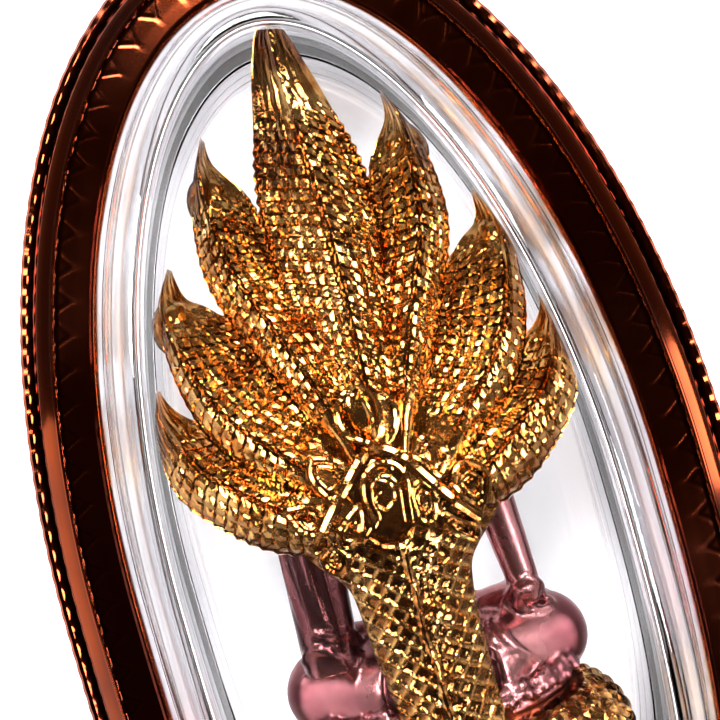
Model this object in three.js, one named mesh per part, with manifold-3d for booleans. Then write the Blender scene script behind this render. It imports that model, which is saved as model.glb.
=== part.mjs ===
// A naga buddha amulet sealed in its pendant case, lying on its front window.
// Millimetres. +Z runs from the front window to the back window, +Y towards the bail.
// The origin is the middle of the front window's flat face, on the line where the case is widest.
import * as THREE from "three";
import { mergeVertices } from "three/addons/utils/BufferGeometryUtils.js";
import Module from "manifold-3d";

const wasm = await Module();
wasm.setup();
const { Manifold, Mesh: SolidMesh } = wasm;

// The naga: a hood of seven heads on a body that rises from three coils
const hoodHalfWidth = 9; // the lowest heads, at their widest
const hoodRise = 21.5; // from the widest line of the case up to the middle head's tip
const hoodSetBack = 4.15; // from the middle of the case to the middle of the hood's thickness
const neckThickness = 1.7; // of a hood neck, where it leaves the collar
const collarY = 0.8;
const bodyHalfWidth = 2.3; // the rising body, between the coils and the collar
const bodyRidge = 1.3; // half the body's thickness, at its ridge
const bodySides = 10;
const seatDrop = 9.6; // from the widest line down to the seat on the coils
const coilCount = 3;
const coilRadius = 1.75; // of the serpent's body in a coil
const coilPitch = 2.9; // from one coil to the next
const coilHalfWidth = 8; // of the top coil
const coilTaper = 0.8; // each lower coil is this much narrower
const coilHalfDepth = 5.1;
const footFlat = 0.35; // cut off the lowest coil, to stand on
const hoodSides = 8;
const hoodSteps = 8;

// Each head of one half of the hood, the middle one first, as stations from the collar to the
// tip: across, up, and half the neck's width there, all as shares of the hood's size.
const heads = [
  { stations: [[0, 0.06, 0.1], [0, 0.3, 0.21], [0, 0.6, 0.25], [0, 0.84, 0.18], [0, 1, 0.01]], lean: 0.5 },
  { stations: [[0.05, 0.08, 0.08], [0.25, 0.38, 0.185], [0.42, 0.63, 0.185], [0.42, 0.84, 0.01]], lean: 1.9 },
  { stations: [[0.09, 0.06, 0.1], [0.42, 0.28, 0.225], [0.695, 0.455, 0.18], [0.71, 0.635, 0.01]], lean: 2.3 },
  { stations: [[0.11, 0.035, 0.13], [0.5, 0.125, 0.235], [0.85, 0.235, 0.175], [0.95, 0.385, 0.01]], lean: 2.7 },
];

// The seated figure
const figureHeight = 19.4; // seat to the tip of the hair finial
const kneeSpan = 14.8;
const figureForward = 0.3; // from the middle of the case to the plane of the spine

// The case
const windowThickness = 1;
const windowWall = 0.9; // the windows' side wall
const tongueReach = 0.7; // the rim where the windows meet stands out into the frame's groove
const tongueHalf = 0.8;
const clearance = 0.3; // between any two pieces that touch
const sideRoom = 0.65; // beside the hood
const tipRoom = 0.4; // over the middle head
const footRoom = 2; // under the coils, where the case rounds in
const coilRoom = 1.2;
const archPower = 2; // the upper half of the case is a true half ellipse
const footPower = 2.8; // the lower half is squarer
const depthRoom = 0.55; // between the naga and each window's face
const frameSetBack = 2.4; // from either window's face to the frame's flat border
const borderWidth = 1.85; // the flat, engraved border
const lipChamfer = 0.2;
const slopeWidth = 0.95; // the sloping band between the border and the rope edge
const slopeDrop = 0.5;
const ropeThickness = 0.6;
const waistDepth = 0.35; // the frame's side, set in behind its rope edges
const bevelWidth = 2.2; // the sloping edge of each window
const bevelShoulder = 0.6; // the steep foot of that slope
const bevelFoot = 1.05;
const caseSegments = 44;

// The bail
const bailBore = 1.8; // radius of the hole for the chain
const bailWall = 0.8;
const bailLength = 3.2;
const bailSink = 0.7; // how far the bail is let into the frame

const nagaHalfDepth = Math.max(coilHalfDepth, hoodSetBack + bodyRidge);
const caseMiddle = nagaHalfDepth + depthRoom + windowThickness;
const caseDepth = 2 * caseMiddle;
const hoodBackZ = caseMiddle + hoodSetBack;
const figureZ = caseMiddle - figureForward;
const borderZ = caseDepth - frameSetBack;
const coilStack = 2 * coilRadius + (coilCount - 1) * coilPitch - footFlat;
const seatY = -seatDrop;
const footY = seatY - coilStack;
const wallReach = windowWall + clearance; // from the frame's opening in to the free space
const openingHalfWidth = Math.max(hoodHalfWidth + sideRoom, coilHalfWidth + coilRoom) + wallReach;
const openingRise = hoodRise + tipRoom + wallReach;
const openingDrop = -footY + footRoom + wallReach;
const ringReach = borderWidth + slopeWidth + ropeThickness; // opening to the outside of the rope

// A closed mesh as a solid, with its shared points merged.
function toSolid(geometry) {
  const bare = geometry.clone();
  for (const name of Object.keys(bare.attributes)) {
    if (name !== "position") bare.deleteAttribute(name);
  }
  const merged = mergeVertices(bare, 1e-4);
  const faces = [];
  const index = merged.index.array;
  for (let i = 0; i < index.length; i += 3) {
    const [a, b, c] = [index[i], index[i + 1], index[i + 2]];
    if (a !== b && b !== c && a !== c) faces.push(a, b, c);
  }
  return new Manifold(
    new SolidMesh({
      numProp: 3,
      vertProperties: new Float32Array(merged.attributes.position.array),
      triVerts: new Uint32Array(faces),
    }),
  );
}

function toGeometry(solid) {
  const mesh = solid.getMesh();
  const geometry = new THREE.BufferGeometry();
  geometry.setAttribute("position", new THREE.BufferAttribute(mesh.vertProperties, 3));
  geometry.setIndex(new THREE.BufferAttribute(mesh.triVerts, 1));
  const flat = geometry.toNonIndexed();
  flat.computeVertexNormals();
  return flat;
}

function join(solids) {
  return solids.reduce((whole, piece) => whole.add(piece));
}

// A point of an oval whose halves are squared by their own powers, and its outward direction.
function ovalPoint(angle, halfWidth, rise, drop, upperPower, lowerPower) {
  const [c, s] = [Math.cos(angle), Math.sin(angle)];
  const power = s >= 0 ? upperPower : lowerPower;
  const half = s >= 0 ? rise : drop;
  const x = Math.sign(c) * Math.abs(c) ** (2 / power);
  const y = Math.sign(s) * Math.abs(s) ** (2 / power);
  const normal = new THREE.Vector2(
    (Math.sign(x) * Math.abs(x) ** (power - 1)) / halfWidth,
    (Math.sign(y) * Math.abs(y) ** (power - 1)) / half,
  ).normalize();
  return { point: new THREE.Vector2(x * halfWidth, y * half), normal };
}

const caseOutline = (angle) =>
  ovalPoint(angle, openingHalfWidth, openingRise, openingDrop, archPower, footPower);

// Turns a profile into a ring or a dish that follows an outline. A profile's first value is
// how far outside the outline a point lies, or null for a point in the middle.
function followOutline(profile, outline, segments) {
  const nominal = 100;
  const points = profile.map(([offset, z]) => new THREE.Vector2(offset === null ? 0 : nominal + offset, z));
  const geometry = new THREE.LatheGeometry(points, segments);
  const place = geometry.getAttribute("position");
  for (let i = 0; i < place.count; i++) {
    const [x, height, z] = [place.getX(i), place.getY(i), place.getZ(i)];
    const radius = Math.hypot(x, z);
    if (radius < 1e-6) {
      place.setXYZ(i, 0, 0, height);
      continue;
    }
    const { point, normal } = outline(Math.atan2(-z, x));
    const offset = radius - nominal;
    place.setXYZ(i, point.x + offset * normal.x, point.y + offset * normal.y, height);
  }
  return geometry;
}

// A skin over rings of points that run round the way they go, closed by a fan at each end.
function loft(rings) {
  const sides = rings[0].length;
  const middle = (ring) =>
    ring.reduce((sum, p) => sum.add(p), new THREE.Vector3()).divideScalar(sides);
  const points = [...rings.flat(), middle(rings[0]), middle(rings[rings.length - 1])];
  const [first, last] = [points.length - 2, points.length - 1];
  const end = (rings.length - 1) * sides;
  const index = [];
  for (let s = 0; s < sides; s++) {
    const next = (s + 1) % sides;
    for (let r = 0; r < end; r += sides) {
      index.push(r + s, r + next, r + s + sides, r + next, r + next + sides, r + s + sides);
    }
    index.push(first, next, s, last, end + s, end + next);
  }
  const geometry = new THREE.BufferGeometry().setFromPoints(points);
  geometry.setIndex(index);
  return geometry;
}

// A round bar that tapers from one radius to another between two points.
function limb(from, to, fromRadius, toRadius, sides = 7) {
  const [a, b] = [new THREE.Vector3(...from), new THREE.Vector3(...to)];
  const bar = new THREE.CylinderGeometry(toRadius, fromRadius, a.distanceTo(b), sides);
  const turn = new THREE.Quaternion().setFromUnitVectors(
    new THREE.Vector3(0, 1, 0),
    b.clone().sub(a).normalize(),
  );
  bar.applyQuaternion(turn).translate(...a.clone().add(b).divideScalar(2).toArray());
  return toSolid(bar);
}

function ball(at, radii, across = 8, down = 5) {
  const geometry = new THREE.SphereGeometry(1, across, down);
  geometry.scale(...radii).translate(...at);
  return toSolid(geometry);
}

// The frame: a ring with a flat border, a sloping band and a rope edge on each side, and a
// groove inside that holds the rims of the windows.
function makeFrame() {
  const ropeZ = borderZ - slopeDrop;
  const grooveTop = caseMiddle + tongueHalf + clearance;
  const grooveReach = tongueReach + clearance;
  const half = [
    [grooveReach, grooveTop],
    [0, grooveTop],
    [0, borderZ - lipChamfer],
    [lipChamfer, borderZ],
    [borderWidth, borderZ],
    [ringReach - ropeThickness, ropeZ],
    [ringReach - ropeThickness * 0.2, ropeZ - ropeThickness * 0.15],
    [ringReach, ropeZ - ropeThickness * 0.6],
    [ringReach - waistDepth, ropeZ - ropeThickness * 1.5],
  ];
  const other = half.map(([offset, z]) => [offset, caseDepth - z]).reverse();
  const profile = [...half, ...other, half[0]].reverse();
  return toSolid(followOutline(profile, caseOutline, caseSegments)).add(makeBail());
}

// A short tube across the top of the frame, let into its side.
function makeBail() {
  const outer = bailBore + bailWall;
  const shape = new THREE.Shape().absarc(0, 0, outer, 0, 2 * Math.PI);
  shape.holes.push(new THREE.Path().absarc(0, 0, bailBore, 0, 2 * Math.PI, true));
  const tube = new THREE.ExtrudeGeometry(shape, {
    depth: bailLength,
    bevelEnabled: false,
    curveSegments: 10,
  });
  const side = openingRise + ringReach - waistDepth;
  tube.translate(0, 0, -bailLength / 2).rotateY(Math.PI / 2);
  tube.translate(0, side + outer - bailSink, caseMiddle);
  return toSolid(tube);
}

// A window: a clear dish with a bevelled edge, a straight side wall and a rim at its mouth.
function makeWindow(back) {
  const shoulder = borderZ + clearance / 3;
  const mouth = caseMiddle + clearance / 2;
  const rimTop = caseMiddle + tongueHalf;
  const profile = [
    [null, caseDepth],
    [-clearance - bevelWidth, caseDepth],
    [-clearance - bevelShoulder, shoulder + bevelFoot],
    [-clearance, shoulder],
    [-clearance, rimTop],
    [tongueReach, rimTop],
    [tongueReach, mouth],
    [-wallReach, mouth],
    [-wallReach, shoulder - windowThickness / 2],
    [-wallReach - bevelShoulder, shoulder + bevelFoot - windowThickness],
    [-wallReach - bevelWidth + windowThickness, caseDepth - windowThickness],
    [null, caseDepth - windowThickness],
  ];
  const placed = back
    ? profile.reverse()
    : profile.map(([offset, z]) => [offset, caseDepth - z]);
  return toSolid(followOutline(placed, caseOutline, caseSegments));
}

// One neck and head of the hood: a blade that swells and ends in a hook, rounded at the back.
function hoodBlade(head, side) {
  const route = new THREE.CatmullRomCurve3(
    head.stations.map(
      ([across, up, half]) =>
        new THREE.Vector3(side * across * hoodHalfWidth, up * hoodRise, half * hoodHalfWidth),
    ),
  );
  const rings = [];
  for (let i = 0; i <= hoodSteps; i++) {
    const t = i / hoodSteps;
    const at = route.getPoint(t);
    const along = route.getTangent(t);
    const acrossX = along.y / Math.hypot(along.x, along.y);
    const acrossY = -along.x / Math.hypot(along.x, along.y);
    const z = hoodBackZ - head.lean * t ** 2;
    const thick = (neckThickness / 2) * (1 - 0.65 * t ** 2);
    const ring = [];
    for (let s = 0; s < hoodSides; s++) {
      const a = (s / hoodSides) * 2 * Math.PI;
      const out = Math.cos(a) * Math.max(at.z, 0.05);
      ring.push(new THREE.Vector3(at.x + out * acrossX, at.y + out * acrossY, z - Math.sin(a) * thick));
    }
    rings.push(ring);
  }
  return toSolid(loft(rings));
}

// The face that each head shows to the front: a brow and a snout.
function headFront(head, side) {
  const [across, up, half] = head.stations[head.stations.length - 2];
  const [x, y] = [side * across * hoodHalfWidth, up * hoodRise];
  const size = half * hoodHalfWidth * 0.7;
  const z = hoodBackZ - head.lean * 0.5;
  return join([
    ball([x, y, z - size * 0.9], [size, size * 1.2, size * 1.4], 8, 5),
    ball([x, y - size * 0.6, z - size * 2], [size * 0.65, size * 0.6, size * 0.9], 6, 4),
  ]);
}

// The body that rises from the coils to the collar, with a ridge down its back.
function risingBody() {
  const stations = [
    [seatY - coilRadius, 0.9],
    [seatY + 0.3 * seatDrop, 0.88],
    [seatY + 0.6 * seatDrop, 0.96],
    [seatY + 0.8 * seatDrop, 1.08],
    [seatY + 0.92 * seatDrop, 1.4],
    [collarY, 1.9],
    [collarY + 1.6, 1.5],
  ];
  const rings = stations.map(([y, share]) => {
    const ring = [];
    for (let s = 0; s < bodySides; s++) {
      const a = (s / bodySides) * 2 * Math.PI;
      const lift = a < Math.PI ? Math.sin(a) ** 1.4 * bodyRidge : Math.sin(a) * bodyRidge * 0.8;
      ring.push(new THREE.Vector3(Math.cos(a) * bodyHalfWidth * share, y, hoodBackZ + lift));
    }
    return ring;
  });
  return toSolid(loft(rings.reverse()));
}

// A pointed leaf that stands out of the hood's back.
function leaf(x, y, halfWidth, length, turn, lift) {
  const shape = new THREE.Shape();
  shape.moveTo(0, length);
  shape.quadraticCurveTo(halfWidth * 1.5, length * 0.35, halfWidth * 0.7, 0);
  shape.quadraticCurveTo(0, -halfWidth * 0.5, -halfWidth * 0.7, 0);
  shape.quadraticCurveTo(-halfWidth * 1.5, length * 0.35, 0, length);
  const geometry = new THREE.ExtrudeGeometry(shape, {
    depth: bodyRidge,
    bevelEnabled: false,
    curveSegments: 3,
  });
  geometry.rotateZ(turn).translate(x, y, hoodBackZ + lift);
  return toSolid(geometry);
}

// The leaves of the collar, where the hood joins the body.
function collar() {
  const leaves = [leaf(0, collarY, 1.1, 2.6, 0, 0.05), leaf(-0.2, collarY + 2.3, 0.9, 2.6, 0, -0.1)];
  for (const side of [-1, 1]) {
    leaves.push(leaf(side * 1.5, collarY + 0.9, 0.7, 2, -side * 0.85, -0.1));
    leaves.push(leaf(side * 2.4, collarY - 0.1, 0.7, 2, -side * 1.1, -0.3));
    leaves.push(leaf(side * 1.2, collarY + 0.2, 0.55, 1.7, -side * 2.5, -0.1));
  }
  return join(leaves);
}

// The coils that the figure sits on, solid inside and cut flat under their foot.
function coils() {
  const tiers = [];
  for (let i = 0; i < coilCount; i++) {
    const halfWidth = coilHalfWidth - i * coilTaper - coilRadius;
    const halfDepth = coilHalfDepth - coilRadius;
    const outline = (angle) => ovalPoint(angle, halfWidth, halfDepth, halfDepth, 2.2, 2.2);
    const profile = [[null, -coilRadius]];
    for (let s = 0; s <= 5; s++) {
      const a = (s / 5 - 0.5) * Math.PI;
      profile.push([coilRadius * Math.cos(a), coilRadius * Math.sin(a)]);
    }
    profile.push([null, coilRadius]);
    const tier = followOutline(profile, outline, 26);
    tier.rotateX(-Math.PI / 2).translate(0, seatY - coilRadius - i * coilPitch, caseMiddle);
    tiers.push(toSolid(tier));
  }
  return join(tiers).trimByPlane([0, 1, 0], footY);
}

function makeNaga() {
  const pieces = [coils(), risingBody(), collar()];
  heads.forEach((head, i) => {
    for (const side of i ? [-1, 1] : [1]) {
      pieces.push(hoodBlade(head, side), headFront(head, side));
    }
  });
  return join(pieces);
}

// The seated figure: folded legs, hands in the lap, a robe over the left shoulder.
function makeBuddha() {
  const sole = seatY + clearance;
  const k = figureHeight / 19.4;
  const knee = kneeSpan / 2 / k - 2.1;
  const at = (x, y, z) => [x * k, sole + y * k, figureZ + z * k];
  const size = (...radii) => radii.map((radius) => radius * k);
  const part = (place, radii, ...detail) => ball(at(...place), size(...radii), ...detail);
  const bar = (from, to, fromRadius, toRadius) => limb(at(...from), at(...to), fromRadius * k, toRadius * k);
  const pieces = [
    part([0, 1.9, -0.7], [5, 2, 3], 10, 5), // lap
    part([0, 6.6, 0.1], [2.7, 5, 1.7], 10, 6),
    part([0, 9.7, 0.1], [3.9, 2, 1.65], 10, 6), // chest
    bar([0, 10.8, 0], [0, 13, -0.1], 1.2, 0.95),
    part([0, 14.3, -0.3], [1.7, 2.1, 1.8], 10, 7), // head
    part([0, 16.4, 0], [1, 1, 1], 8, 5),
    bar([0, 16.7, 0], [0, 19.4, 0], 0.65, 0.08),
    part([0.1, 3.6, -3], [1.7, 0.55, 1], 8, 5), // hands
    bar([-4.3, 9.6, 0.5], [-4.6, 4, 0.8], 1.5, 1.35), // robe over the left arm
    part([0, 0.45, -0.4], [6.1, 0.6, 3.6], 12, 4), // hem of the robe
  ];
  for (const side of [-1, 1]) {
    pieces.push(bar([side * 1.6, 2.2, 0.9], [side * knee, 2.1, -1.3], 2, 2));
    pieces.push(part([side * knee, 2.1, -1.3], [2.1, 2.08, 2]));
    pieces.push(bar([side * knee, 1.8, -1.9], [-side * 0.6, 2, -3.3], 1.7, 1.1));
    pieces.push(part([side * 4.1, 10.4, 0.1], [1.4, 1.3, 1.2]));
    pieces.push(bar([side * 4.3, 10.3, 0.1], [side * 4.9, 4.9, 0.4], 1.1, 0.85));
    pieces.push(part([side * 4.9, 4.8, 0.3], [0.9, 0.9, 0.9]));
    pieces.push(bar([side * 4.9, 4.7, 0.2], [side * 0.8, 3.8, -2.9], 0.85, 0.6));
    pieces.push(part([side * 1.75, 13.8, -0.1], [0.25, 1, 0.4], 6, 4)); // ear
  }
  return join(pieces).trimByPlane([0, 1, 0], sole);
}

const finish = {
  frame: { color: 0x5a2413, metalness: 1, roughness: 0.16 },
  acrylic: { color: 0xf2f2fa, metalness: 0, roughness: 0.03, transparent: true, opacity: 0.25 },
  naga: { color: 0xb97d22, metalness: 1, roughness: 0.28 },
  buddha: { color: 0xb8737a, metalness: 1, roughness: 0.22 },
};

const amulet = new THREE.Group();

function addPiece(name, solid, look) {
  const mesh = new THREE.Mesh(toGeometry(solid), new THREE.MeshStandardMaterial(look));
  mesh.name = name;
  amulet.add(mesh);
}

addPiece("frame", makeFrame(), finish.frame);
addPiece("back_window", makeWindow(true), finish.acrylic);
addPiece("front_window", makeWindow(false), finish.acrylic);
addPiece("naga", makeNaga(), finish.naga);
addPiece("buddha", makeBuddha(), finish.buddha);

export default amulet;
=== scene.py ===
import bisect
import math

import bpy
import numpy as np
from mathutils import Matrix, Vector, noise
from mathutils.bvhtree import BVHTree
from mathutils.kdtree import KDTree


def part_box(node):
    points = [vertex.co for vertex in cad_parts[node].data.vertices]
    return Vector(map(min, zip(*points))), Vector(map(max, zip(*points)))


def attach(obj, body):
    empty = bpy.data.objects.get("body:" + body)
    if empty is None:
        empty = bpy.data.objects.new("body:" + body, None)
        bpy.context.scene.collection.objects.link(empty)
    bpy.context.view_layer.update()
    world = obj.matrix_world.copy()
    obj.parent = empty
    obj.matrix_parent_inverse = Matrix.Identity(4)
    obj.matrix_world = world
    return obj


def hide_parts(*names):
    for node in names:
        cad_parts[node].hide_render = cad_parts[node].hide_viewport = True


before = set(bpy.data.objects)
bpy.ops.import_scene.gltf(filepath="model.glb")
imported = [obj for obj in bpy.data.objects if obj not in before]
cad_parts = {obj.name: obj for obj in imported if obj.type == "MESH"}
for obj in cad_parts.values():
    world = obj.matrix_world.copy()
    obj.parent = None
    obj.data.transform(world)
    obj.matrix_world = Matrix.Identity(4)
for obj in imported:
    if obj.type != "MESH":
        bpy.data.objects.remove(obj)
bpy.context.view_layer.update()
mm = 0.001  # sizes below are in millimetres, meshes in metres

# What the case and the serpent share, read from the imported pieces
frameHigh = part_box("frame")[1] / mm
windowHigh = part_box("back_window")[1] / mm
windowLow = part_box("back_window")[0] / mm
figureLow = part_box("buddha")[0] / mm
caseDepth = windowHigh.z
caseMiddle = caseDepth / 2


# Small helpers for working in Blender by script
def selectOnly(piece):
    bpy.ops.object.select_all(action="DESELECT")
    piece.select_set(True)
    bpy.context.view_layer.objects.active = piece


def newPiece(name, points, faces):  # points in millimetres
    mesh = bpy.data.meshes.new(name)
    mesh.from_pydata([(x * mm, y * mm, z * mm) for x, y, z in points], [], faces)
    mesh.update()
    piece = bpy.data.objects.new(name, mesh)
    bpy.context.scene.collection.objects.link(piece)
    return piece


def settle(piece):  # puts the object's place into its mesh
    selectOnly(piece)
    bpy.ops.object.transform_apply(location=True, rotation=True, scale=True)
    return piece


def faceOutwards(piece):
    selectOnly(piece)
    bpy.ops.object.mode_set(mode="EDIT")
    bpy.ops.mesh.select_all(action="SELECT")
    bpy.ops.mesh.remove_doubles(threshold=1e-7)
    bpy.ops.mesh.normals_make_consistent(inside=False)
    bpy.ops.object.mode_set(mode="OBJECT")
    return piece


def applyModifier(piece, kind, **values):
    selectOnly(piece)
    modifier = piece.modifiers.new(kind.lower(), kind)
    for key, value in values.items():
        setattr(modifier, key, value)
    bpy.ops.object.modifier_apply(modifier=modifier.name)


def unite(parts):  # welds closed shapes into the first of them, the small ones together first
    while len(parts) > 1:
        pairs = [parts[k : k + 2] for k in range(0, len(parts), 2)]
        for pair in pairs:
            for other in pair[1:]:
                applyModifier(pair[0], "BOOLEAN", operation="UNION", solver="MANIFOLD", object=other)
                bpy.data.objects.remove(other)
        parts = [pair[0] for pair in pairs]
    return parts[0]


def dropSheets(piece):  # a union can leave two faces lying on each other, and both have to go
    if piece.data.validate():
        selectOnly(piece)
        bpy.ops.object.mode_set(mode="EDIT")
        bpy.ops.mesh.select_mode(type="EDGE")
        bpy.ops.mesh.select_all(action="DESELECT")
        bpy.ops.mesh.select_non_manifold()
        bpy.ops.mesh.delete(type="EDGE")
        bpy.ops.object.mode_set(mode="OBJECT")


askew = {"turn": -1.2, "across": 0.2}  # degrees, millimetres


def setAskew(piece):  # the figures stand a little turned and off the middle in their case
    turn = Matrix.Rotation(math.radians(askew["turn"]), 4, "Z")
    piece.data.transform(Matrix.Translation((askew["across"] * mm, 0, 0)) @ turn)


def finishPiece(piece, name, material, node):
    piece.name = piece.data.name = name
    piece.data.materials.clear()
    piece.data.materials.append(material)
    piece.data.polygons.foreach_set("material_index", [0] * len(piece.data.polygons))
    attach(piece, "root")
    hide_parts(node)
    print(name, "has", sum(len(face.vertices) - 2 for face in piece.data.polygons), "triangles")


def joinAll(pieces, name):
    bpy.ops.object.select_all(action="DESELECT")
    for piece in pieces:
        piece.select_set(True)
    bpy.context.view_layer.objects.active = pieces[0]
    bpy.ops.object.join()
    pieces[0].name = pieces[0].data.name = name
    return pieces[0]


def addBall(place, radii, turn=(0, 0, 0), across=20, down=12):
    bpy.ops.object.select_all(action="DESELECT")
    bpy.ops.mesh.primitive_uv_sphere_add(
        segments=across,
        ring_count=down,
        radius=1,
        location=Vector(place) * mm,
        rotation=turn,
        scale=Vector(radii) * mm,
    )
    return settle(bpy.context.object)


def addBar(start, end, startRadius, endRadius, sides=20):
    start, end = Vector(start) * mm, Vector(end) * mm
    turn = (end - start).to_track_quat("Z", "Y").to_euler()
    bpy.ops.object.select_all(action="DESELECT")
    bpy.ops.mesh.primitive_cone_add(
        vertices=sides,
        radius1=startRadius * mm,
        radius2=endRadius * mm,
        depth=(end - start).length,
        location=(start + end) / 2,
        rotation=turn,
    )
    return settle(bpy.context.object)


def scatter(a, b, seed=0):  # the same number from 0 to 1 each time for a pair of whole numbers
    value = math.sin(a * 12.9898 + b * 78.233 + seed * 37.719) * 43758.5453
    return value - math.floor(value)


def ramp(value, low, high):  # 0 below low, 1 above high, smooth between
    share = min(1, max(0, (value - low) / (high - low)))
    return share * share * (3 - 2 * share)


def throughPoints(points, share):  # a point of the smooth line through these, share from 0 to 1
    spans = len(points) - 1
    run = min(share * spans, spans - 1e-6)
    i, t = int(run), run - int(run)
    p = [points[max(0, min(spans, i + k))] for k in (-1, 0, 1, 2)]
    return [
        0.5 * (2 * b + (c - a) * t + (2 * a - 5 * b + 4 * c - d) * t**2 + (3 * b - a - 3 * c + d) * t**3)
        for a, b, c, d in zip(*p)
    ]


lineSteps = 300


def fineLine(points):
    return [throughPoints(points, k / lineSteps) for k in range(lineSteps + 1)]


def tapered(radius, count, share):  # radii that shrink by this share towards both ends
    return [radius * (1 - share * abs(2 * k / (count - 1) - 1) ** 3) for k in range(count)]


def sweptTube(name, points, radii, sides=10, closed=False):  # a tube of changing thickness through points
    points = [Vector(p) for p in points]
    last = len(points) - 1
    rings, faces = [], []
    for k, point in enumerate(points):
        before = points[k - 1] if closed or k else point
        after = points[(k + 1) % len(points)] if closed or k < last else point
        along = (after - before).normalized()
        across = along.cross(Vector((0, 0, 1))).normalized()
        up = across.cross(along)
        radius = radii[k] if isinstance(radii, list) else radii
        for s in range(sides):
            a = 2 * math.pi * s / sides
            rings.append(point + (across * math.cos(a) + up * math.sin(a)) * radius)
    for k in range(len(points) if closed else last):
        here, there = k * sides, (k + 1) % len(points) * sides
        for s in range(sides):
            n = (s + 1) % sides
            faces.append((here + s, here + n, there + n, there + s))
    if not closed:
        faces.append(tuple(range(sides)))
        faces.append(tuple(last * sides + s for s in reversed(range(sides))))
    return faceOutwards(newPiece(name, rings, faces))


# Camera, floor and light
studio = {
    "cameraPlace": (0.5, 7.46, 44.6),
    "cameraTurn": -16.1,  # degrees
    "lens": 40.95,
    "floorSize": 900,
    "floorColour": (0.93, 0.93, 0.95),
    "floorGlow": 0.5,  # a light table, so that no shadow lies behind the clear windows
    "sky": [  # height and colour, dark overhead
        (0.0, (0.25, 0.24, 0.24)),
        (0.2, (0.12, 0.1, 0.09)),
        (0.42, (0.06, 0.035, 0.025)),
        (0.9, (0.022, 0.012, 0.009)),
    ],
    "lampDistance": 250,
    "lampAim": (0, 2.7, 9),
    # azimuth from the bail and elevation in degrees, width, height, watts. The high ones stand
    # where no slope or face of the case mirrors them to the camera
    "lamps": [
        (-62, 47, 75, 75, 0.56),
        (-4, 49, 70, 70, 0.5),
        (58, 48, 75, 75, 0.56),
        (116, 48, 60, 60, 0.34),
        (-98, 13, 150, 110, 0.09),
        (98, 16, 60, 40, 0.06),
        (190, 22, 50, 50, 0.14),
    ],
}


def makeCamera():
    data = bpy.data.cameras.new("camera")
    data.lens = studio["lens"]
    data.sensor_width = 36
    data.clip_start = 0.001
    data.clip_end = 10
    camera = bpy.data.objects.new("camera", data)
    camera.location = Vector(studio["cameraPlace"]) * mm
    camera.rotation_euler = (0, 0, math.radians(studio["cameraTurn"]))
    bpy.context.scene.collection.objects.link(camera)
    bpy.context.scene.camera = camera


def makeSoftbox(name, place, aim, width, height, power):
    data = bpy.data.lights.new(name, "AREA")
    data.shape = "RECTANGLE"
    data.size = width * mm
    data.size_y = height * mm
    data.energy = power
    light = bpy.data.objects.new(name, data)
    light.location = Vector(place) * mm
    light.rotation_euler = (Vector(aim) - Vector(place)).to_track_quat("-Z", "Y").to_euler()
    bpy.context.scene.collection.objects.link(light)


def makeRoom():
    world = bpy.data.worlds.new("room")
    bpy.context.scene.world = world
    world.use_nodes = True
    nodes, links = world.node_tree.nodes, world.node_tree.links
    coordinate = nodes.new("ShaderNodeTexCoord")
    height = nodes.new("ShaderNodeSeparateXYZ")
    grade = nodes.new("ShaderNodeValToRGB")
    marks = grade.color_ramp.elements
    for k, (place, colour) in enumerate(studio["sky"]):
        mark = marks[k] if k < 2 else marks.new(place)
        mark.position = place
        mark.color = (*colour, 1)
    links.new(coordinate.outputs["Generated"], height.inputs[0])
    links.new(height.outputs["Z"], grade.inputs["Fac"])
    links.new(grade.outputs["Color"], nodes["Background"].inputs["Color"])


def makeLamps():
    aim = Vector(studio["lampAim"])
    for k, (azimuth, elevation, width, height, power) in enumerate(studio["lamps"]):
        a, e = math.radians(azimuth), math.radians(elevation)
        way = Vector((math.sin(a) * math.cos(e), math.cos(a) * math.cos(e), math.sin(e)))
        makeSoftbox("lamp_" + str(k + 1), aim + way * studio["lampDistance"], aim, width, height, power)


def makeFloor():
    bpy.ops.object.select_all(action="DESELECT")
    bpy.ops.mesh.primitive_plane_add(size=studio["floorSize"] * mm, location=(0, 0, -0.02 * mm))
    floor = settle(bpy.context.object)
    floor.name = "floor"
    paper = bpy.data.materials.new("floor_paper")
    paper.use_nodes = True
    shader = paper.node_tree.nodes["Principled BSDF"]
    shader.inputs["Base Color"].default_value = (*studio["floorColour"], 1)
    shader.inputs["Roughness"].default_value = 0.9
    shader.inputs["Emission Color"].default_value = (1, 1, 1, 1)
    shader.inputs["Emission Strength"].default_value = studio["floorGlow"]
    floor.data.materials.append(paper)


makeCamera()
makeRoom()
makeFloor()
makeLamps()
bpy.context.scene.view_settings.view_transform = "Standard"
print("studio: camera, room, floor and softboxes")


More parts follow.
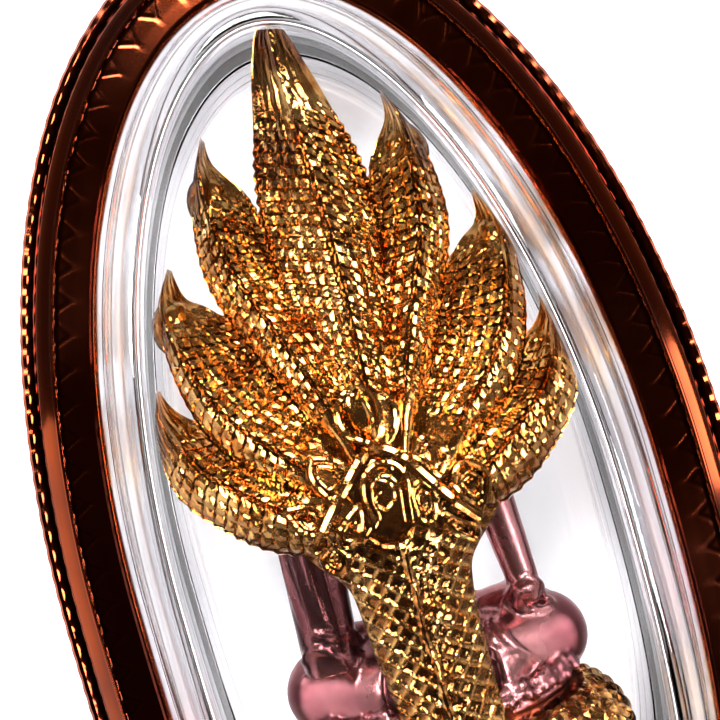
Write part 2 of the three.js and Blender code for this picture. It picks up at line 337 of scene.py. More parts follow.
# Finishes. A group gives fine grain, blotches and a height for the bump of any cast or polished metal
def makeSurfaceGroup():
    group = bpy.data.node_groups.new("metalSurface", "ShaderNodeTree")
    for name, value in (("Grain Scale", 6000), ("Blotch Scale", 500), ("Smooth", 0.15), ("Rough", 0.35)):
        socket = group.interface.new_socket(name, in_out="INPUT", socket_type="NodeSocketFloat")
        socket.default_value = value
    for name in ("Blotch", "Roughness", "Height"):
        group.interface.new_socket(name, in_out="OUTPUT", socket_type="NodeSocketFloat")
    nodes, links = group.nodes, group.links
    given, result = nodes.new("NodeGroupInput"), nodes.new("NodeGroupOutput")
    place = nodes.new("ShaderNodeTexCoord")
    grain, blotch = nodes.new("ShaderNodeTexNoise"), nodes.new("ShaderNodeTexNoise")
    grain.inputs["Detail"].default_value = 3
    blotch.inputs["Detail"].default_value = 4
    spread = nodes.new("ShaderNodeMapRange")
    sharpen = nodes.new("ShaderNodeMapRange")
    sharpen.inputs["From Min"].default_value = 0.35
    sharpen.inputs["From Max"].default_value = 0.65
    links.new(place.outputs["Object"], grain.inputs["Vector"])
    links.new(place.outputs["Object"], blotch.inputs["Vector"])
    links.new(given.outputs["Grain Scale"], grain.inputs["Scale"])
    links.new(given.outputs["Blotch Scale"], blotch.inputs["Scale"])
    links.new(blotch.outputs["Fac"], sharpen.inputs["Value"])
    links.new(sharpen.outputs["Result"], spread.inputs["Value"])
    links.new(given.outputs["Smooth"], spread.inputs["To Min"])
    links.new(given.outputs["Rough"], spread.inputs["To Max"])
    links.new(sharpen.outputs["Result"], result.inputs["Blotch"])
    links.new(spread.outputs["Result"], result.inputs["Roughness"])
    links.new(grain.outputs["Fac"], result.inputs["Height"])
    return group


surfaceGroup = makeSurfaceGroup()
linerLook = {"colour": (0.93, 0.93, 0.97), "rougher": 0.35}  # the bright wall of the opening


def makeMetal(name, look):
    material = bpy.data.materials.new(name)
    material.use_nodes = True
    nodes, links = material.node_tree.nodes, material.node_tree.links
    shader = nodes["Principled BSDF"]
    shader.inputs["Metallic"].default_value = 1
    surface = nodes.new("ShaderNodeGroup")
    surface.node_tree = surfaceGroup
    surface.inputs["Grain Scale"].default_value = look["grainScale"]
    surface.inputs["Blotch Scale"].default_value = look["blotchScale"]
    surface.inputs["Smooth"].default_value = look["smooth"]
    surface.inputs["Rough"].default_value = look["rough"]
    # the mixes add random blotches, then painted shade where the mesh's shade attribute is set, then the
    # bright wall of the opening
    tone, deep, lined = [nodes.new("ShaderNodeMix") for _ in range(3)]
    overlays = (look["otherColour"], look["paintedShadeColour"], linerLook["colour"])
    for mix, colour in zip((tone, deep, lined), overlays):
        mix.data_type = "RGBA"
        mix.inputs["B"].default_value = (*colour, 1)
    tone.inputs["A"].default_value = (*look["colour"], 1)
    painted_shade, liner = [nodes.new("ShaderNodeAttribute") for _ in range(2)]
    painted_shade.attribute_name = "painted_shade"
    liner.attribute_name = "liner"
    bump = nodes.new("ShaderNodeBump")
    bump.inputs["Strength"].default_value = look["bumpStrength"]
    bump.inputs["Distance"].default_value = look["bumpDepth"] * mm
    links.new(surface.outputs["Blotch"], tone.inputs["Factor"])
    links.new(tone.outputs["Result"], deep.inputs["A"])
    links.new(painted_shade.outputs["Fac"], deep.inputs["Factor"])
    links.new(deep.outputs["Result"], lined.inputs["A"])
    links.new(liner.outputs["Fac"], lined.inputs["Factor"])
    links.new(lined.outputs["Result"], shader.inputs["Base Color"])
    soften = nodes.new("ShaderNodeMath")
    soften.operation = "MULTIPLY_ADD"
    soften.inputs[1].default_value = linerLook["rougher"]
    links.new(liner.outputs["Fac"], soften.inputs[0])
    links.new(surface.outputs["Roughness"], soften.inputs[2])
    links.new(soften.outputs["Value"], shader.inputs["Roughness"])
    links.new(surface.outputs["Height"], bump.inputs["Height"])
    links.new(bump.outputs["Normal"], shader.inputs["Normal"])
    return material


gold = makeMetal(
    "cast_gold",
    {
        "colour": (0.82, 0.49, 0.16),
        "otherColour": (0.45, 0.165, 0.03),
        # painted shade in the recesses, the body's sunken squares and the claws
        "paintedShadeColour": (0.095, 0.022, 0.006),
        "grainScale": 9000,
        "blotchScale": 900,
        "smooth": 0.05,
        "rough": 0.13,
        "bumpStrength": 0.3,
        "bumpDepth": 0.03,
    },
)
roseCopper = makeMetal(
    "rose_copper",
    {
        "colour": (0.42, 0.19, 0.185),
        "otherColour": (0.24, 0.075, 0.085),
        # painted shade in the recesses and on the shaded left sleeve
        "paintedShadeColour": (0.045, 0.008, 0.01),
        "grainScale": 2500,
        "blotchScale": 260,
        "smooth": 0.2,
        "rough": 0.34,
        "bumpStrength": 0.2,
        "bumpDepth": 0.02,
    },
)
frameMetal = makeMetal(
    "polished_frame",
    {
        "colour": (0.3, 0.05, 0.012),
        "otherColour": (0.15, 0.03, 0.014),
        # painted shade in the recesses
        "paintedShadeColour": (0.02, 0.008, 0.006),
        "grainScale": 1500,
        "blotchScale": 150,
        "smooth": 0.06,
        "rough": 0.14,
        "bumpStrength": 0.08,
        "bumpDepth": 0.02,
    },
)


def makeAcrylic():
    material = bpy.data.materials.new("clear_acrylic")
    material.use_nodes = True
    nodes, links = material.node_tree.nodes, material.node_tree.links
    shader = nodes["Principled BSDF"]
    shader.inputs["Base Color"].default_value = (0.99, 0.99, 1, 1)
    shader.inputs["Roughness"].default_value = 0
    shader.inputs["IOR"].default_value = 1.49
    shader.inputs["Transmission Weight"].default_value = 1
    # lamp light passes straight through, as through a thin clear sheet
    path = nodes.new("ShaderNodeLightPath")
    clear = nodes.new("ShaderNodeBsdfTransparent")
    either = nodes.new("ShaderNodeMixShader")
    links.new(path.outputs["Is Shadow Ray"], either.inputs[0])
    links.new(shader.outputs[0], either.inputs[1])
    links.new(clear.outputs[0], either.inputs[2])
    links.new(either.outputs[0], nodes["Material Output"].inputs["Surface"])
    return material


acrylic = makeAcrylic()
print("finishes: gold, rose copper, frame metal, acrylic")


def paintHollowShade(piece, depth):  # how sunken each point is, 0 to 1, kept on the mesh as painted shade that darkens the recesses
    mesh = piece.data
    place = np.zeros(len(mesh.vertices) * 3)
    mesh.vertices.foreach_get("co", place)
    place = place.reshape(-1, 3)
    normal = np.zeros(len(mesh.vertices) * 3)
    mesh.vertices.foreach_get("normal", normal)
    normal = normal.reshape(-1, 3)
    ends = np.zeros(len(mesh.edges) * 2, int)
    mesh.edges.foreach_get("vertices", ends)
    a, b = ends.reshape(-1, 2).T
    count = np.bincount(a, minlength=len(place)) + np.bincount(b, minlength=len(place))

    def around(values):
        total = np.zeros_like(values)
        np.add.at(total, a, values[b])
        np.add.at(total, b, values[a])
        return total / np.maximum(count, 1).reshape(-1, *[1] * (values.ndim - 1))

    sunk = ((around(place) - place) * normal).sum(1)
    sunk = (sunk + around(sunk)) / 2
    attribute = mesh.attributes.new("painted_shade", "FLOAT", "POINT")
    attribute.data.foreach_set("value", np.clip(sunk / (depth * mm), 0, 1).astype(np.float32))


def addPaintedShade(piece, shadeAt):  # paints shade into a metal where shadeAt gives a share above 0 for a point
    dark = piece.data.attributes["painted_shade"].data
    for vertex in piece.data.vertices:
        x, y, _ = vertex.co / mm
        share = shadeAt(x, y)
        dark[vertex.index].value = max(dark[vertex.index].value, min(1, share))


def smoothByAngle(piece, degrees):
    selectOnly(piece)
    bpy.ops.object.shade_smooth_by_angle(angle=math.radians(degrees))


# The outline of the case: an upper half ellipse over a squarer lower half
caseSizes = {
    "frameReach": 3.4,  # from the frame's opening to the outside of its rope
    "rimReach": 0.7,  # of the windows' rims outside the opening
    "footPower": 2.8,
    "archPower": 2.0,
}
openingHalf = frameHigh.x - caseSizes["frameReach"]
openingRise = windowHigh.y - caseSizes["rimReach"]
openingDrop = -windowLow.y - caseSizes["rimReach"]


def ovalAt(angle, half, rise, drop, upperPower, lowerPower):
    c, s = math.cos(angle), math.sin(angle)
    power, height = (upperPower, rise) if s >= 0 else (lowerPower, drop)
    x = math.copysign(abs(c) ** (2 / power), c)
    y = math.copysign(abs(s) ** (2 / power), s)
    out = Vector(
        (math.copysign(abs(x) ** (power - 1), x) / half, math.copysign(abs(y) ** (power - 1), y) / height)
    ).normalized()
    return Vector((x * half, y * height)), out


def evenStations(count, offset, *oval):  # points at even steps round an oval, with their outward directions
    fine = 6000
    line = [ovalAt(2 * math.pi * k / fine, *oval) for k in range(fine)]
    track = [point + out * offset for point, out in line]
    length = [0]
    for k in range(fine):
        length.append(length[-1] + (track[(k + 1) % fine] - track[k]).length)
    stations, k = [], 0
    for n in range(count):
        while length[k + 1] < length[-1] * n / count:
            k += 1
        stations.append(line[k])
    return stations, length[-1]


caseOval = (openingHalf, openingRise, openingDrop, caseSizes["archPower"], caseSizes["footPower"])


def roundCorners(profile, radius, steps):  # profile of (offset, height) with its inner corners rounded
    rounded = [profile[0]]
    for before, corner, after in zip(profile, profile[1:], profile[2:]):
        b, c, a = Vector(before), Vector(corner), Vector(after)
        reach = min(radius, (b - c).length * 0.45, (a - c).length * 0.45)
        start, end = c + (b - c).normalized() * reach, c + (a - c).normalized() * reach
        for k in range(steps + 1):
            t = k / steps
            rounded.append(tuple(start * (1 - t) ** 2 + c * 2 * t * (1 - t) + end * t**2))
    return rounded + [profile[-1]]


# The windows: clear dishes with a bevelled edge, a straight wall and a rim held in the frame
windowSizes = {
    "stations": 240,
    "thickness": 1.0,
    "clearance": 0.3,
    "wall": 0.9,
    "shoulder": 11.7,  # where the straight wall ends
    "bevelWidth": 1.6,
    "bevelShoulder": 0.5,
    "bevelFoot": 1.2,
    "rimHalf": 0.8,
    "rounding": 0.35,
}


def makeWindow(name, back):
    w = windowSizes
    gap, thick, shoulder = w["clearance"], w["thickness"], w["shoulder"]
    inside = w["wall"] + gap
    mouth, rimTop = caseMiddle + gap / 2, caseMiddle + w["rimHalf"]
    outer = [
        (-gap - w["bevelWidth"] - 0.8, caseDepth),
        (-gap - w["bevelWidth"], caseDepth),
        (-gap - w["bevelShoulder"], shoulder + w["bevelFoot"]),
        (-gap, shoulder),
        (-gap, rimTop),
    ]
    inner = [
        (-inside, mouth),
        (-inside, shoulder - thick / 2),
        (-inside - 0.2, shoulder - 0.1),
        (-gap - w["bevelWidth"] - 0.25, caseDepth - thick),
        (-gap - w["bevelWidth"] - 1, caseDepth - thick),
    ]
    rim = [(caseSizes["rimReach"], rimTop), (caseSizes["rimReach"], mouth)]
    profile = roundCorners(outer, w["rounding"], 4) + rim + roundCorners(inner, w["rounding"], 4)
    if not back:
        profile = [(offset, caseDepth - z) for offset, z in profile]
    stations, _ = evenStations(w["stations"], 0, *caseOval)
    points, faces = [], []
    for place, out in stations:
        for offset, z in profile:
            points.append((place.x + out.x * offset, place.y + out.y * offset, z))
    count, deep = len(stations), len(profile)
    for k in range(count):
        n = (k + 1) % count
        for j in range(deep - 1):
            faces.append((k * deep + j, n * deep + j, n * deep + j + 1, k * deep + j + 1))
    faces.append(tuple(k * deep for k in range(count)))
    faces.append(tuple(k * deep + deep - 1 for k in range(count)))
    window = faceOutwards(newPiece(name, points, faces))
    smoothByAngle(window, 40)
    finishPiece(window, name, acrylic, name.replace("clear_", ""))


makeWindow("clear_back_window", True)
makeWindow("clear_front_window", False)
print("windows: two clear dishes")


# The frame: engraved borders, raised lines, sloping bands and rope edges, and the bail on top
frameSizes = {
    "strokes": 86,  # engraved peaks round the border
    "stroke": 4,  # mesh steps up one side of a peak
    "gap": 4,  # and between two peaks
    "engraveDepth": 0.02,
    "peakOffset": 1.02,
    "peakHeight": 0.68,
    "borderZ": 11.46,
    "borderSink": 0.015,  # of the engraved band below its edges
    "grooveFoot": 8.1,
    "grooves": [(8.8, 0.2), (9.7, 0.14), (10.6, 0.24)],  # height and width
    "grooveDepth": 0.05,
    # the profile outwards, as offsets from the opening and heights
    "lip": [(0.0, 11.3), (0.05, 11.46), (0.12, 11.55), (0.2, 11.56), (0.27, 11.5)],
    "lines": [(1.79, 11.56), (1.84, 11.585), (1.89, 11.56), (1.94, 11.44)],
    "slope": [(2.0, 11.4), (2.25, 11.3), (2.5, 11.16), (2.72, 11.02), (2.8, 10.94)],
    "waist": [(3.05, 10.3), (2.98, 9.6)],
    "ropeAngles": (140, 105, 70, 35, 0, -35, -70),
    "ropeZ": 10.78,
    "ropeTurns": 152,
    "ropeRadius": 0.27,
    "ropeTwist": 0.045,  # how deep the rope's strands are cut, as a share of its radius
    "bailBore": 1.8,
    "bailRadius": 2.6,
    "bailLength": 3.2,
    "bailHeight": 28.05,
    "bailInset": 0.12,  # of the plain tube inside its rims
    "bailRims": [(0.2, 0.2), (0.75, 0.12)],  # place from both ends and thickness
}


def markLiner(piece):  # 1 on the wall of the opening, which is left bright, 0 elsewhere
    mesh = piece.data
    values = []
    for vertex in mesh.vertices:
        x, y, _ = vertex.co / mm
        power, height = (caseOval[3], openingRise) if y >= 0 else (caseOval[4], openingDrop)
        reach = (abs(x / openingHalf) ** power + abs(y / height) ** power) ** (1 / power)
        values.append(float(reach < 1.002))
    mesh.attributes.new("liner", "FLOAT", "POINT").data.foreach_set("value", values)


def makeBail():
    f = frameSizes
    half = f["bailLength"] / 2
    y, z = f["bailHeight"], caseMiddle
    radius = f["bailRadius"] - f["bailInset"]
    tube = addBar((-half, y, z), (half, y, z), radius, radius, 64)
    places = [(side * (half - inset), thick) for inset, thick in f["bailRims"] for side in (-1, 1)]
    rings = []
    for x, thick in places:
        bpy.ops.object.select_all(action="DESELECT")
        bpy.ops.mesh.primitive_torus_add(
            major_segments=96,
            minor_segments=10,
            major_radius=(f["bailRadius"] - thick) * mm,
            minor_radius=thick * mm,
            location=(x * mm, y * mm, z * mm),
            rotation=(0, math.pi / 2, 0),
        )
        rings.append(settle(bpy.context.object))
    unite([tube] + rings)
    bore = addBar((-half - 1, y, z), (half + 1, y, z), f["bailBore"], f["bailBore"], 64)
    applyModifier(tube, "BOOLEAN", operation="DIFFERENCE", solver="MANIFOLD", object=bore)
    bpy.data.objects.remove(bore)
    return tube


def makeFrame():
    f = frameSizes
    cut, flat = f["stroke"], f["borderZ"]
    period = 2 * cut + f["gap"]
    stations, _ = evenStations(f["strokes"] * period, 1.4, *caseOval)
    inner = [(1.0, f["grooveFoot"]), (0.0, f["grooveFoot"])]
    for z, wide in f["grooves"]:  # fine turned lines round the wall of the opening
        inner += [(0.0, z), (f["grooveDepth"], z + wide / 2), (0.0, z + wide)]
    inner += f["lip"] + [(0.32, flat)]
    sunk = flat - f["borderSink"]
    border = [(0.36, flat), (0.8, sunk)]
    border += [(f["peakOffset"] + f["peakHeight"] * k / cut, sunk) for k in range(cut + 1)]
    lines = [(1.74, flat)] + f["lines"]
    rope = [math.radians(a) for a in f["ropeAngles"]]
    ropeCentre = (caseSizes["frameReach"] - f["ropeRadius"] * (1 + f["ropeTwist"]) - 0.01, f["ropeZ"])
    points = []
    for k, (place, out) in enumerate(stations):
        ring = inner + border[:2]
        step = k % period
        line = cut - abs(step - cut)  # where the stroke crosses the border here, below 0 between peaks
        for j, (offset, z) in enumerate(border[2:]):
            ring.append((offset, z - f["engraveDepth"] * (line == cut - j)))
        ring += lines + f["slope"]
        turn = 2 * math.pi * f["ropeTurns"] * k / len(stations)
        for a in rope:
            radius = f["ropeRadius"] * (1 + f["ropeTwist"] * math.cos(turn + 1.2 * a))
            ring.append((ropeCentre[0] + radius * math.cos(a), ropeCentre[1] + radius * math.sin(a)))
        ring += f["waist"]
        ring += [(offset, caseDepth - z) for offset, z in reversed(ring)]
        points += [(place.x + out.x * offset, place.y + out.y * offset, z) for offset, z in ring]
    count, deep = len(stations), len(ring)
    first = len(inner) + 2
    other = deep - first - cut - 1
    faces = []
    for k in range(count):
        n = (k + 1) % count
        rising = k % period < cut
        for j in range(deep):
            m = (j + 1) % deep
            a, b, c, d = k * deep + j, n * deep + j, n * deep + m, k * deep + m
            if first <= j < first + cut:
                faces += [(a, b, d), (b, c, d)] if rising else [(a, b, c), (a, c, d)]
            elif other <= j < other + cut:
                faces += [(a, b, c), (a, c, d)] if rising else [(a, b, d), (b, c, d)]
            else:
                faces.append((a, b, c, d))
    ring = unite([faceOutwards(newPiece("ring", points, faces)), makeBail()])
    paintHollowShade(ring, 0.02)
    markLiner(ring)
    smoothByAngle(ring, 32)
    finishPiece(ring, "engraved_frame", frameMetal, "frame")


makeFrame()
print("frame: engraved ring with rope edges and a bail")


# The naga. Each neck is a blade with a sharp spine, rows of studs on its back and belly plates
nagaSizes = {
    "hoodHalf": 9.0,
    "hoodRise": 21.5,
    "hoodZ": 11.3,
    "ridge": 1.15,  # the spine of a neck above its edges
    "edgeWave": 0.025,  # of a neck's outline at each row of studs, as a share of its width
    "bump": 0.12,  # height of the uneven ground
    "furrow": 0.09,  # depth of the furrows along a claw
    "belly": 1.1,
    "platePitch": 0.75,  # of the belly plates
    "studPitch": 0.5,
    "studHeight": 0.19,
    "slantReach": 2.0,  # the width that the slants of the rows are measured over
    # painted shade in the sunken squares of the body's net
    "bodyShade": 0.8,
    "netPitch": 0.58,
    "netHeight": 0.12,
    "netHalf": 0.15,  # half the width of a raised line
    "netLines": [(-36, 1), (52, 0.75)],  # direction in degrees and height as a share
    "spineHeight": 0.16,
    "frontColumns": 8,
    "bodyTop": 3.0,
    "bodyHalf": 2.3,
    "bodyRidge": 1.3,
    "bodyColumns": 62,
    "bodyRows": 190,
    "collarMiddle": (-0.2, 3.1),
    "collarReach": (3.9, 3.5),
    "seatY": -9.6,
    "coilRadius": 1.75,
    "coilPitch": 2.9,
    "coilRise": 0.9,  # of the top turn's upper side over the seat
    "coilHalf": 8.0,
    "coilTaper": 0.8,
    "coilHalfDepth": 5.1,
    "coilPower": 2.2,
    "footY": -18.55,
    "scaleSize": 0.25,
    "scaleHeight": 0.14,
}
studSteps = (0, 0.17, 0.5, 0.83)  # where the mesh has its points in one stud, both ways
studShape = ((0, 0, 0, 0), (0, 0.55, 1, 0.55), (0, 0.35, 0.75, 0.35), (0, 0.1, 0.4, 0.1))  # heights there

# Each head from the collar to the tip: across and up to its spine, then its width outside and
# inside the spine, as shares of the hood's size. It leans away by so many millimetres at its tip.
# Inside and outside the spine it has so many studs in a row, the rows slant and the studs soften
hoodNecks = [
    {
        "line": [
            (0, 0.06, 0.1, 0.1), (0, 0.18, 0.16, 0.16), (0.01, 0.32, 0.2, 0.22), (0.02, 0.46, 0.22, 0.26),
            (0.02, 0.6, 0.25, 0.28), (0.01, 0.72, 0.24, 0.25), (0, 0.82, 0.185, 0.185),
            (-0.01, 0.92, 0.13, 0.12), (0, 1.012, 0.06, 0.055),
        ],
        "lean": 0.5,
        "studs": (5, 4),
        "slants": (-0.45, 0.8),
        "soft": (0, 0),
        "smooth": (0.66, 0.8),  # where the studs fade out along the neck
        "sides": (1,),
    },
    {
        "line": [
            (0.05, 0.1, 0.07, 0.08), (0.14, 0.24, 0.11, 0.12), (0.247, 0.369, 0.14, 0.18),
            (0.35, 0.48, 0.15, 0.21), (0.43, 0.565, 0.14, 0.23), (0.458, 0.64, 0.12, 0.215),
            (0.468, 0.72, 0.085, 0.165), (0.462, 0.79, 0.04, 0.05), (0.435, 0.845, 0.004, 0.004),
        ],
        "lean": 1.9,
        "studs": (4, 3),
        "slants": (0.5, 0.3),
        "soft": (0, 0.1),
        "smooth": (0.64, 0.78),
        "sides": (1, -1),
    },
    {
        "line": [
            (0.1, 0.06, 0.09, 0.1), (0.27, 0.15, 0.13, 0.19), (0.43, 0.22, 0.15, 0.23),
            (0.58, 0.285, 0.15, 0.29), (0.68, 0.35, 0.12, 0.33), (0.745, 0.43, 0.095, 0.29),
            (0.785, 0.5, 0.065, 0.2), (0.795, 0.555, 0.04, 0.1), (0.75, 0.618, 0.004, 0.004),
        ],
        "lean": 2.3,
        "studs": (5, 2),
        "slants": (0.5, 0.2),
        "soft": (0, 0.15),
        "smooth": (0.64, 0.78),
        "sides": (1, -1),
    },
    {
        "line": [
            (0.11, 0.035, 0.1, 0.16), (0.29, 0.075, 0.17, 0.2), (0.47, 0.112, 0.21, 0.22),
            (0.64, 0.165, 0.215, 0.22), (0.78, 0.215, 0.195, 0.18), (0.875, 0.275, 0.15, 0.125),
            (0.945, 0.335, 0.07, 0.06), (0.965, 0.39, 0.004, 0.004),
        ],
        "lean": 2.7,
        "studs": (4, 3),
        "slants": (0.5, 0.2),
        "soft": (0, 0.25),
        "smooth": (0.64, 0.78),
        "sides": (1, -1),
    },
]


def studHeight(i, j, column, row, seed):  # each stud is a little higher, lower or tipped its own way
    tip = (scatter(column, row, seed) - 0.5) * 0.7
    lift = 0.8 + 0.4 * scatter(column, row, seed + 5)
    if i == 0 or j == 0:
        return studShape[j][i]
    return lift * studShape[j][i] * (1 + tip * (i - 2))


def closedSkin(name, points, rows, deep):  # rows of deep points each, with both ends closed
    faces = []
    for row in range(rows):
        for k in range(deep):
            n = (k + 1) % deep
            a, b = row * deep + k, row * deep + n
            faces.append((a, b, b + deep, a + deep))
    for row, order in ((0, -1), (rows, 1)):
        ring = [row * deep + k for k in range(deep)]
        middle = len(points)
        points.append([sum(points[i][axis] for i in ring) / deep for axis in range(3)])
        for k in range(deep):
            a, b = ring[k], ring[(k + 1) % deep]
            faces.append((a, b, middle)[::order])
    return faceOutwards(newPiece(name, points, faces))


def studdedSkin(neck, length, place, front, seed):
    # place(run, share across, height) gives a point of the studded back, front(run, share across)
    # one of the plain front
    studs, slants = neck["studs"], neck["slants"]
    pitch, reach, frontColumns = (nagaSizes[key] for key in ("studPitch", "slantReach", "frontColumns"))
    marks = [(0, 1.25, 0, 0)]  # share across, height, column, place in the column
    for side, count in ((-1, studs[0]), (1, studs[1])):
        half = []
        for k in range(4 * count + 1):
            share = 0.05 + 0.88 * (k // 4 + studSteps[k % 4]) / count
            half.append((side * share, None, side * (k // 4 + 1), k % 4))
        half += [(side * 0.965, 0.7, 0, 0), (side, 0.1, 0, 0)]
        marks = marks + half if side > 0 else half[::-1] + marks
    falls = [(slants[0] if share < 0 else slants[1]) * abs(share) * reach for share, *_ in marks]
    for k in range(1, frontColumns):
        falls.append(falls[len(marks) - 1] + (falls[0] - falls[len(marks) - 1]) * k / frontColumns)
    start = min(0, *falls)
    rows = 4 * math.ceil((length + max(0, *falls) - start) / pitch)
    deep = len(marks) + frontColumns - 1  # points in one row, back first
    points = []
    for row in range(rows + 1):
        run = start + pitch * (row // 4 + studSteps[row % 4])
        for (share, height, column, i), fall in zip(marks, falls):
            if height is None:
                ended = run <= fall or run >= fall + length
                height = 0 if ended else studHeight(i, row % 4, column, row // 4, seed)
            points.append(place(min(length, max(0, run - fall)), share, height))
        for k in range(1, frontColumns):
            fall = falls[len(marks) + k - 1]
            points.append(front(min(length, max(0, run - fall)), 1 - 2 * k / frontColumns))
    return closedSkin("neck", points, rows, deep)


def groundShare(x, y):  # 0 on the smooth ground between the collar's ornaments, 1 away from them
    middle, reach = nagaSizes["collarMiddle"], nagaSizes["collarReach"]
    return ramp(math.hypot((x - middle[0]) / reach[0], (y - middle[1]) / reach[1]), 0.75, 1.05)


def netRidge(x, y):  # 1 on the crossing raised lines of the body's skin, 0 in its sunken squares
    n = nagaSizes
    ridge = 0
    for direction, high in n["netLines"]:
        a = math.radians(direction)
        across = (y * math.cos(a) - x * math.sin(a)) / n["netPitch"]
        away = abs(across - round(across)) * n["netPitch"]
        ridge = max(ridge, high * ramp(-away, -n["netHalf"], 0))
    return ridge


def sway(y):  # how far the body's middle bends aside
    return 0.12 * math.sin(y * 0.55)


def spinePlace(y):
    return sway(y) + 0.07 * math.sin(y * 2.3)


def bellyPlate(run, height):
    return height * abs(math.sin(run * math.pi / nagaSizes["platePitch"])) ** 0.5


def makeNeck(neck, side, seed):
    n = nagaSizes
    fine = fineLine(neck["line"])
    half, rise = n["hoodHalf"], n["hoodRise"]
    line = [(x * half, y * rise, outer * half, inner * half) for x, y, outer, inner in fine]
    runs = [0]
    for a, b in zip(line, line[1:]):
        runs.append(runs[-1] + math.hypot(b[0] - a[0], b[1] - a[1]))

    def frameAt(run):
        k = min(lineSteps - 1, max(0, bisect.bisect_right(runs, run) - 1))
        part = min(1, max(0, (run - runs[k]) / (runs[k + 1] - runs[k])))
        x, y, outer, inner = (a + (b - a) * part for a, b in zip(line[k], line[k + 1]))
        a, b = line[max(0, k - 6)], line[min(lineSteps, k + 7)]
        along = Vector((b[0] - a[0], b[1] - a[1])).normalized()
        return (k + part) / lineSteps, Vector((x, y)), Vector((along.y, -along.x)), outer, inner

    def place(run, across, height):
        t, spot, sideways, outer, inner = frameAt(run)
        tip = ramp(t, *neck["smooth"])
        edge = 1 + n["edgeWave"] * (1 - tip) * math.cos(2 * math.pi * run / n["studPitch"]) * abs(across)
        out = spot + sideways * across * (outer if across > 0 else inner) * edge
        plain = 1 - across**2.2 if across > 0 else (1 + across) ** 1.15
        claw = 1 - across**2 if across > 0 else (1 + across) ** 1.8
        soft = neck["soft"][across > 0]
        bumps = noise.noise(Vector((out.x * 1.6 + seed, out.y * 1.6, side)))
        lift = n["ridge"] * (1 - 0.5 * t**2) * (plain * (1 - tip) + claw * tip)
        furrow = n["furrow"] * math.cos(across * 24 + 2 * bumps) * tip * (1 - abs(across))
        stud = height * n["studHeight"] * (1 - tip) * (1 - soft)
        lift += stud * ramp(t, -0.05, 0.08) * groundShare(out.x, out.y)
        lift += (n["bump"] * bumps * (1 - abs(across)) + furrow) * (0.4 + soft)
        z = n["hoodZ"] - neck["lean"] * t**2 + lift
        return (side * out.x, out.y, z)

    def front(run, across):
        t, spot, sideways, outer, inner = frameAt(run)
        out = spot + sideways * across * (outer if across > 0 else inner)
        thick = n["belly"] * (1 - 0.55 * t**2) * 0.8 + bellyPlate(run, 0.09)
        z = n["hoodZ"] - neck["lean"] * t**2 - thick * (1 - across**2)
        return (side * out.x, out.y, z)

    return studdedSkin(neck, runs[-1], place, front, seed)


def makeBody():
    n = nagaSizes
    low, top = n["seatY"] - n["coilRadius"], n["bodyTop"]
    stations = [
        (low, 0.92), (-8.6, 0.9), (-6.7, 0.9), (-5.2, 0.94), (-3.8, 0.98), (-2.6, 1.02),
        (-1.5, 1.1), (-0.8, 1.3), (0, 1.62), (0.8, 1.85), (1.7, 1.75), (top, 1.1),
    ]
    fine = fineLine(stations)

    def shareAt(y):
        k = min(lineSteps - 1, max(0, bisect.bisect_right(fine, [y, 9]) - 1))
        (under, a), (over, b) = fine[k], fine[k + 1]
        return a + (b - a) * min(1, max(0, (y - under) / (over - under)))

    def place(run, across):
        y = low + run
        x = across * n["bodyHalf"] * shareAt(y) + sway(y)
        lift = (1 - abs(across) ** 2.4) * 0.8 + 0.2 * (1 - abs(across)) ** 2
        wave = noise.noise(Vector((across * 2, y * 0.5, 4))) * 0.1
        z = n["hoodZ"] + (n["bodyRidge"] - 0.1) * lift + wave * (1 - across**2)
        away = abs(x - spinePlace(y))
        relief = netRidge(x, y) * n["netHeight"] * ramp(away, 0.15, 0.4) * ramp(-abs(across), -1, -0.94)
        relief += n["spineHeight"] * ramp(-away, -0.22, -0.04)
        return (x, y, z + relief * groundShare(x, y))

    def front(run, across):
        y = low + run
        z = n["hoodZ"] - (0.85 * n["bodyRidge"] + bellyPlate(run, 0.1)) * (1 - across**2)
        return (across * n["bodyHalf"] * shareAt(y) + sway(y), y, z)

    columns, rows, frontColumns = n["bodyColumns"], n["bodyRows"], n["frontColumns"]
    points = []
    for row in range(rows + 1):
        run = (top - low) * row / rows
        points += [place(run, 2 * k / columns - 1) for k in range(columns + 1)]
        points += [front(run, 1 - 2 * k / frontColumns) for k in range(1, frontColumns)]
    return closedSkin("body", points, rows, columns + frontColumns)


